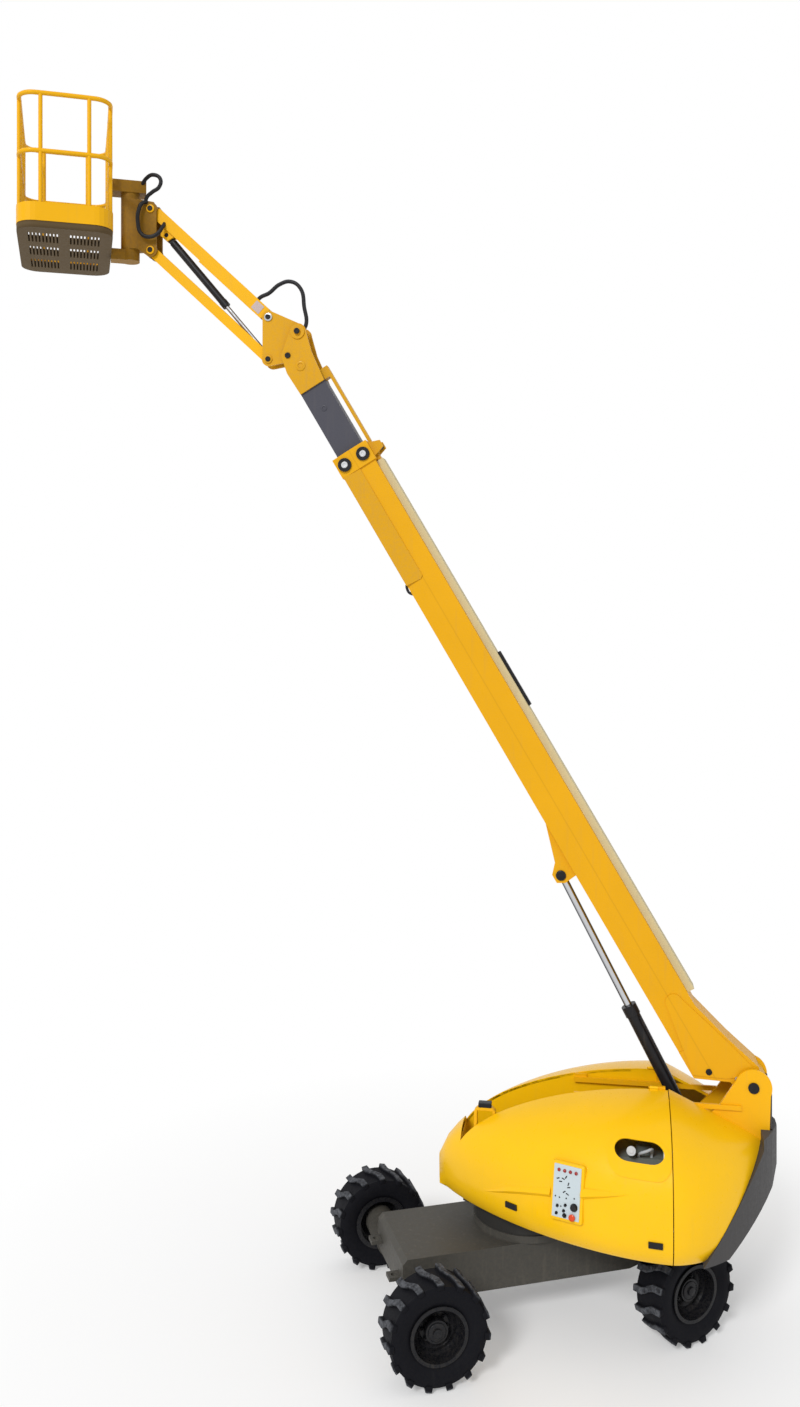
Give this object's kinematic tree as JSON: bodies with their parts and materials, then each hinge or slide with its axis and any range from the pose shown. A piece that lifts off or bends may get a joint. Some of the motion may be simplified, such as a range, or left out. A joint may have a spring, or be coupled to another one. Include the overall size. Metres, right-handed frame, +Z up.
{
  "type": "telescopic boom lift",
  "caption": "Self-propelled boom lift with a slewing turret, a telescopic boom, a parallelogram jib and a guard-railed basket that stays level.",
  "frame": {"origin": "on the ground under the slew axis", "axes": "+X forward along the chassis towards the drive axle, +Y to the left, +Z up"},
  "size_m": [6.2418, 3.7946, 10.4583],
  "materials": {
    "yellow_paint": "satin gloss paint",
    "yellow_moulding": "gloss moulded shell",
    "grey_paint": "satin grey-brown paint",
    "grey_casting": "painted casting, slightly rough",
    "tyre": "worn rubber",
    "rim": "black paint",
    "black_paint": "satin black paint",
    "chrome_rod": "ground chrome",
    "black_rubber": "moulded rubber",
    "black_plastic": "moulded plastic",
    "panel": "printed panel, left blank",
    "deck": "brown-grey slotted deck"
  },
  "bodies": {
    "chassis": {"chassis_frame": "grey_paint", "drive_axle": "grey_paint", "steer_axle": "grey_paint", "slew_ring": "grey_paint"},
    "wheel_drive_left": {"tyre_drive_left": "tyre", "rim_drive_left": "rim"},
    "wheel_drive_right": {"tyre_drive_right": "tyre", "rim_drive_right": "rim"},
    "steer_left": {"knuckle_left": "grey_paint"},
    "steer_right": {"knuckle_right": "grey_paint"},
    "steer_link": {"track_rod": "chrome_rod"},
    "wheel_steer_left": {"tyre_steer_left": "tyre", "rim_steer_left": "rim"},
    "wheel_steer_right": {"tyre_steer_right": "tyre", "rim_steer_right": "rim"},
    "turret": {"turntable": "yellow_paint", "counterweight": "grey_casting", "tail_cover": "yellow_moulding", "rear_grille": "grey_paint", "boom_rest_post": "yellow_paint", "boom_rest_pad": "black_rubber", "engine_block": "black_paint", "fluid_tank": "black_paint", "pivot_pins": "black_paint"},
    "cover_left": {"hood_left": "yellow_moulding", "control_panel": "panel", "latches_left": "black_plastic"},
    "cover_right": {"hood_right": "yellow_moulding", "latches_right": "black_plastic"},
    "boom": {"boom_outer": "yellow_paint", "wear_pads": "black_plastic", "hose_tray": "grey_paint"},
    "lift_cylinder": {"lift_barrel": "black_paint"},
    "lift_piston": {"lift_rod": "chrome_rod"},
    "boom_extension": {"boom_inner": "grey_paint", "boom_head": "yellow_paint", "hose_tube": "yellow_paint"},
    "jib_bracket": {"jib_root": "yellow_paint"},
    "jib_top_link": {"jib_upper": "yellow_paint"},
    "jib_bottom_link": {"jib_lower": "yellow_paint"},
    "jib_cylinder": {"jib_barrel": "black_paint"},
    "jib_piston": {"jib_rod": "chrome_rod"},
    "jib_post": {"jib_tip": "yellow_paint"},
    "basket": {"basket_mount": "yellow_paint", "basket_floor": "deck", "toe_board": "yellow_paint", "basket_rails": "yellow_paint"}
  },
  "joints": [
    {"name": "spin_drive_left", "type": "hinge", "parent": "chassis", "child": "wheel_drive_left", "pos_m": [1.1, 0.9, 0.42], "axis": [0, 1, 0], "continuous": true},
    {"name": "spin_drive_right", "type": "hinge", "parent": "chassis", "child": "wheel_drive_right", "pos_m": [1.1, -0.9, 0.42], "axis": [0, 1, 0], "continuous": true},
    {"name": "steering", "type": "hinge", "parent": "chassis", "child": "steer_left", "pos_m": [-1, 0.695, 0.42], "axis": [0, 0, 1], "range_deg": [-45, 15]},
    {"name": "steering_right", "type": "hinge", "parent": "chassis", "child": "steer_right", "pos_m": [-1, -0.695, 0.42], "axis": [0, 0, 1], "range_deg": [-45.1, 15.1]},
    {"name": "steering_link", "type": "slide", "parent": "chassis", "child": "steer_link", "axis": [0, 1, 0], "range_m": [-0.1128, 0.0379]},
    {"name": "spin_steer_left", "type": "hinge", "parent": "steer_left", "child": "wheel_steer_left", "pos_m": [-1.05306, 0.89301, 0.42], "axis": [-0.2588, 0.9659, 0], "continuous": true},
    {"name": "spin_steer_right", "type": "hinge", "parent": "steer_right", "child": "wheel_steer_right", "pos_m": [-0.94694, -0.89301, 0.42], "axis": [-0.2588, 0.9659, 0], "continuous": true},
    {"name": "slew", "type": "hinge", "parent": "chassis", "child": "turret", "pos_m": [0, 0, 0.76], "axis": [0, 0, 1], "continuous": true},
    {"name": "cover_left_open", "type": "hinge", "parent": "turret", "child": "cover_left", "pos_m": [-0.89541, 0.66891, 1.992], "axis": [0.9048, -0.4258, 0], "range_deg": [0, 50]},
    {"name": "cover_right_open", "type": "hinge", "parent": "turret", "child": "cover_right", "pos_m": [-1.08616, 0.26355, 1.992], "axis": [-0.9048, 0.4258, 0], "range_deg": [0, 50]},
    {"name": "boom_lift", "type": "hinge", "parent": "turret", "child": "boom", "pos_m": [-1.72822, 0.81324, 2.03], "axis": [-0.4258, -0.9048, 0], "range_deg": [-59.5, 12.5]},
    {"name": "lift_cylinder_swing", "type": "hinge", "parent": "turret", "child": "lift_cylinder", "pos_m": [-1.49296, 0.70254, 1.13], "axis": [-0.4258, -0.9048, 0], "range_deg": [-50.38, 10.66]},
    {"name": "lift_cylinder_stroke", "type": "slide", "parent": "lift_cylinder", "child": "lift_piston", "axis": [0.4154, -0.1955, 0.8884], "range_m": [-0.8525, 0.1799]},
    {"name": "telescope", "type": "slide", "parent": "boom", "child": "boom_extension", "axis": [0.4592, -0.2161, 0.8616], "range_m": [-0.65, 4.2]},
    {"name": "head_level", "type": "hinge", "parent": "boom_extension", "child": "jib_bracket", "pos_m": [1.82775, -0.86007, 8.5], "axis": [-0.4258, -0.9048, 0], "range_deg": [-12.6, 59.6]},
    {"name": "jib_lift", "type": "hinge", "parent": "jib_bracket", "child": "jib_top_link", "pos_m": [2.0811, -0.97929, 8.65], "axis": [-0.4258, -0.9048, 0], "range_deg": [-113, 27]},
    {"name": "jib_bottom_link_swing", "type": "hinge", "parent": "jib_bracket", "child": "jib_bottom_link", "pos_m": [2.0811, -0.97929, 8.27], "axis": [-0.4258, -0.9048, 0], "range_deg": [-113.1, 27.1]},
    {"name": "jib_cylinder_swing", "type": "hinge", "parent": "jib_top_link", "child": "jib_cylinder", "pos_m": [2.97089, -1.39799, 9.45763], "axis": [-0.4258, -0.9048, 0], "range_deg": [-1.18, 4.62]},
    {"name": "jib_cylinder_stroke", "type": "slide", "parent": "jib_cylinder", "child": "jib_piston", "axis": [-0.5829, 0.2743, -0.7649], "range_m": [-0.5927, 0.1424]},
    {"name": "jib_post_level", "type": "hinge", "parent": "jib_top_link", "child": "jib_post", "pos_m": [3.09358, -1.45573, 9.69346], "axis": [-0.4258, -0.9048, 0], "range_deg": [-27.1, 113.1]},
    {"name": "basket_turn", "type": "hinge", "parent": "jib_post", "child": "basket", "pos_m": [3.30169, -1.55366, 9.69346], "axis": [0, 0, 1], "range_deg": [-115.2, 64.8]}
  ],
  "couplings": [
    {"joint": "steering_right", "follows": "steering", "ratio": 1},
    {"joint": "steering_link", "follows": "steering", "m_per_rad": 0.143},
    {"joint": "lift_cylinder_swing", "follows": "boom_lift", "ratio": 0.845},
    {"joint": "lift_cylinder_stroke", "follows": "boom_lift", "m_per_rad": 0.82},
    {"joint": "head_level", "follows": "boom_lift", "ratio": -1},
    {"joint": "jib_bottom_link_swing", "follows": "jib_lift", "ratio": 1},
    {"joint": "jib_cylinder_swing", "follows": "jib_lift", "ratio": -0.04},
    {"joint": "jib_cylinder_stroke", "follows": "jib_lift", "m_per_rad": 0.3},
    {"joint": "jib_post_level", "follows": "jib_lift", "ratio": -1}
  ]
}
